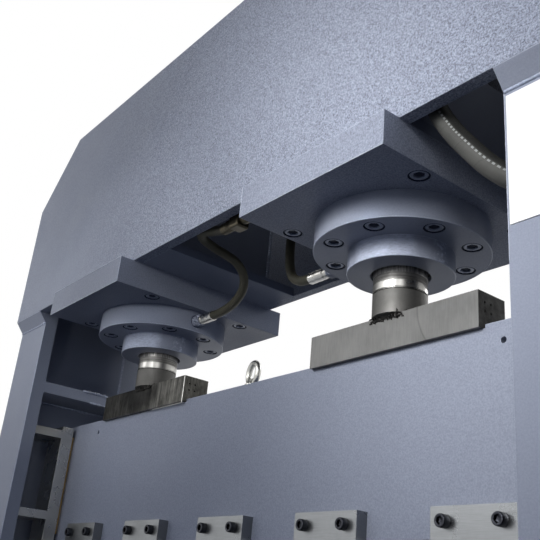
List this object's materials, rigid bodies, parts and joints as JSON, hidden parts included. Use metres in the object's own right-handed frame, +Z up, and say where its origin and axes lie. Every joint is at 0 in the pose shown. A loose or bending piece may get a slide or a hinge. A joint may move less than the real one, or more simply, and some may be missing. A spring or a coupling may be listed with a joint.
{
  "type": "hydraulic press brake",
  "caption": "Closed-frame hydraulic press brake: twin cylinders under the upper beam push a straight ram with punch onto a vee-die table, with back gauge and power pack.",
  "frame": {"origin": "floor level, midway between the four anchor holes, under the mid-plane between the two cylinder axes", "axes": "+X along the bend to the operator's right, +Y from the operator's side to the back, +Z up"},
  "size_m": [2.392, 1.069, 2.233],
  "materials": {
    "paint": "satin blue-grey machine enamel",
    "bare_bar_steel": "saw-cut and brushed bare steel, oily",
    "ground_steel": "ground",
    "tool_steel": "ground and lightly blackened",
    "dark_steel": "oil-blackened",
    "black_screws": "painted over and blackened",
    "rod_chrome": "hard chrome",
    "zinc_plate": "bright zinc plate",
    "yellow_fitting": "yellow zinc",
    "bronze": "bearing bronze",
    "hose_rubber": "cloth-marked outer cover",
    "seal_rubber": "smooth",
    "valve_black": "black",
    "motor_grey": "satin",
    "cabinet_grey": "light grey powder coat",
    "label_white": "blank white plate",
    "red_plastic": "gloss",
    "green_plastic": "gloss",
    "black_plastic": "matte",
    "gauge_aluminium": "satin anodised"
  },
  "bodies": {
    "frame": {"column_left": "paint", "column_right": "paint", "base_plates": "paint", "levelling_screws": "black_screws", "front_plate": "paint", "rear_plate": "paint", "roof_plates": "paint", "beam_ribs": "paint", "cylinder_block_left": "paint", "cylinder_block_right": "paint", "cylinder_tubes": "paint", "cylinder_caps": "paint", "gland_left": "paint", "gland_right": "paint", "cylinder_screws": "black_screws", "wiper_seals": "seal_rubber", "guide_rails": "ground_steel", "table_top": "paint", "table_side_plates": "paint", "table_ribs": "paint", "die_rail": "ground_steel", "die_screws": "black_screws", "vee_die": "tool_steel", "rod_hose_left": "hose_rubber", "rod_hose_right": "hose_rubber", "supply_hose": "hose_rubber", "hose_ferrules": "zinc_plate", "port_adapters": "paint", "tee_fitting": "yellow_fitting", "steel_pipes": "zinc_plate", "valve_manifold": "valve_black", "label_plate": "label_white", "oil_tank": "paint", "tank_lid": "paint", "motor": "motor_grey", "valve_block": "valve_black", "control_box": "cabinet_grey", "switch_cabinet": "cabinet_grey", "gauge_arms": "valve_black"},
    "ram": {"piston_rods": "rod_chrome", "pistons": "ground_steel", "rod_noses": "dark_steel", "saddle_bar_left": "bare_bar_steel", "saddle_bar_right": "bare_bar_steel", "ram_plate": "paint", "eye_bolt": "zinc_plate", "guide_shoes": "bronze", "tool_holders": "tool_steel", "clamp_plates": "tool_steel", "clamp_screws": "black_screws", "punch": "tool_steel"},
    "door": {"cabinet_door": "cabinet_grey"},
    "switch": {"main_switch": "red_plastic"},
    "up": {"up_button": "green_plastic"},
    "down": {"down_button": "black_plastic"},
    "stop": {"stop_button": "red_plastic"},
    "gauge": {"gauge_beam": "gauge_aluminium"},
    "finger_left": {"gauge_finger_left": "dark_steel"},
    "finger_right": {"gauge_finger_right": "dark_steel"},
    "screw": {"gauge_screw": "ground_steel"}
  },
  "joints": [
    {"name": "ram_slide", "type": "slide", "parent": "frame", "child": "ram", "axis": [0, 0, -1], "range_m": [0, 0.125]},
    {"name": "door_hinge", "type": "hinge", "parent": "frame", "child": "door", "pos_m": [-1.097, 0.168, 0.94], "axis": [0, 0, -1], "range_deg": [0, 110]},
    {"name": "main_switch_turn", "type": "hinge", "parent": "door", "child": "switch", "pos_m": [-1.12, 0, 1.04], "axis": [1, 0, 0], "range_deg": [0, 90]},
    {"name": "up_button_press", "type": "slide", "parent": "frame", "child": "up", "axis": [0, 1, 0], "range_m": [0, 0.004], "stiffness_N_per_m": 400},
    {"name": "down_button_press", "type": "slide", "parent": "frame", "child": "down", "axis": [0, 1, 0], "range_m": [0, 0.004], "stiffness_N_per_m": 400},
    {"name": "stop_button_press", "type": "slide", "parent": "frame", "child": "stop", "axis": [0, 1, 0], "range_m": [0, 0.005]},
    {"name": "screw_spin", "type": "hinge", "parent": "frame", "child": "screw", "pos_m": [0, 0.735, 0.8], "axis": [0, 1, 0], "range_deg": [-1800, 1800]},
    {"name": "gauge_slide", "type": "slide", "parent": "frame", "child": "gauge", "axis": [0, 1, 0], "range_m": [-0.1001, 0.1001]},
    {"name": "finger_left_slide", "type": "slide", "parent": "gauge", "child": "finger_left", "axis": [1, 0, 0], "range_m": [-0.09, 0.09]},
    {"name": "finger_right_slide", "type": "slide", "parent": "gauge", "child": "finger_right", "axis": [1, 0, 0], "range_m": [-0.09, 0.09]}
  ],
  "couplings": [
    {"joint": "gauge_slide", "follows": "screw_spin", "m_per_rad": 0.0031831}
  ]
}
